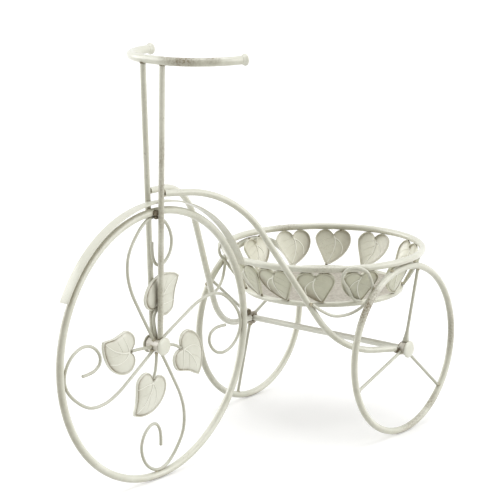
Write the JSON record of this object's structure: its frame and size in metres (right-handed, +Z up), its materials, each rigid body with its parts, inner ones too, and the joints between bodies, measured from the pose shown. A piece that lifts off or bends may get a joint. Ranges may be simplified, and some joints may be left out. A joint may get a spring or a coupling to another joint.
{
  "type": "tricycle plant stand",
  "caption": "Free-standing welded metal plant stand shaped like a tricycle, with a large scroll-filled front wheel and a round leaf-sided pot basket over the rear wheels.",
  "frame": {"origin": "on the floor, under the middle of the stand's length and width", "axes": "+X forward to the big front wheel, +Y the rider's left, +Z up"},
  "size_m": [0.6168, 0.2704, 0.506],
  "materials": {
    "paint": "antique ivory paint with an olive-brown wash in the corners",
    "cap_paint": "antique ivory paint, slightly darker",
    "weld": "dark brown weld under thin paint",
    "tray": "mottled grey-brown painted sheet"
  },
  "bodies": {
    "root": {"front_rim": "paint", "front_hub": "paint", "front_hub_cap_left": "cap_paint", "front_hub_cap_right": "cap_paint", "front_scroll_front": "paint", "front_leaf_stem_front": "paint", "front_leaf_front": "paint", "front_scroll_top": "paint", "front_leaf_stem_top": "paint", "front_leaf_top": "paint", "front_scroll_rear": "paint", "front_leaf_stem_rear": "paint", "front_leaf_rear": "paint", "front_scroll_bottom": "paint", "front_leaf_stem_bottom": "paint", "front_leaf_bottom": "paint", "fork_leg_left": "paint", "fork_leg_right": "paint", "fork_rim_weld_left": "weld", "fork_rim_weld_right": "weld", "mudguard": "paint", "handlebar": "paint", "handlebar_knob_left": "cap_paint", "handlebar_knob_right": "cap_paint", "rear_axle": "paint", "basket_top_ring": "paint", "basket_bottom_ring": "paint", "basket_tray": "tray", "basket_leaf_01": "paint", "basket_leaf_02": "paint", "basket_leaf_03": "paint", "basket_leaf_04": "paint", "basket_leaf_05": "paint", "basket_leaf_06": "paint", "basket_leaf_07": "paint", "basket_leaf_08": "paint", "basket_leaf_09": "paint", "basket_leaf_10": "paint", "basket_leaf_11": "paint", "basket_leaf_12": "paint", "basket_leaf_13": "paint", "frame_tube_left": "paint", "rear_rim_left": "paint", "rear_hub_left": "paint", "rear_hub_cap_left": "cap_paint", "rear_spoke_left_1": "paint", "rear_spoke_left_2": "paint", "rear_spoke_left_3": "paint", "scroll_brace_left": "paint", "frame_tube_right": "paint", "rear_rim_right": "paint", "rear_hub_right": "paint", "rear_hub_cap_right": "cap_paint", "rear_spoke_right_1": "paint", "rear_spoke_right_2": "paint", "rear_spoke_right_3": "paint", "scroll_brace_right": "paint"}
  },
  "joints": []
}
